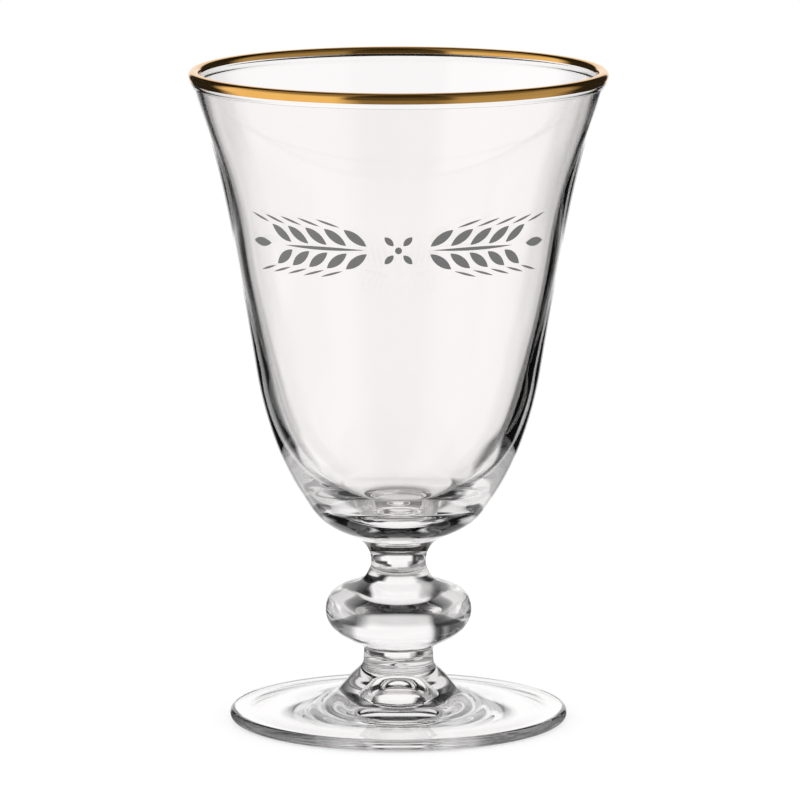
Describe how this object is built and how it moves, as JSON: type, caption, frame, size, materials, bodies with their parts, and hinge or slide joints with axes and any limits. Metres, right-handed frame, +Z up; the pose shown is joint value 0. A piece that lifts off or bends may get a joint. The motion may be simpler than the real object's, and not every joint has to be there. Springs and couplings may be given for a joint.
{
  "type": "footed beer goblet",
  "caption": "Clear footed beer goblet with a flared bowl, a gilt lip, a printed grain spray, a stem with a round knop and a domed foot.",
  "frame": {"origin": "middle of the ring that the foot stands on, on the surface that carries it", "axes": "+Z up along the glass's axis, -Y towards the front, which carries the printed spray"},
  "size_m": [0.0986, 0.0986, 0.155],
  "materials": {
    "foot": "polished",
    "lower_stem": "polished",
    "knop": "polished",
    "neck": "polished",
    "bowl": "polished",
    "gilt_lip": "polished",
    "printed_spray": "satin"
  },
  "bodies": {
    "root": {"foot": "foot", "lower_stem": "lower_stem", "knop": "knop", "neck": "neck", "bowl": "bowl", "gilt_lip": "gilt_lip", "printed_spray": "printed_spray"}
  },
  "joints": []
}
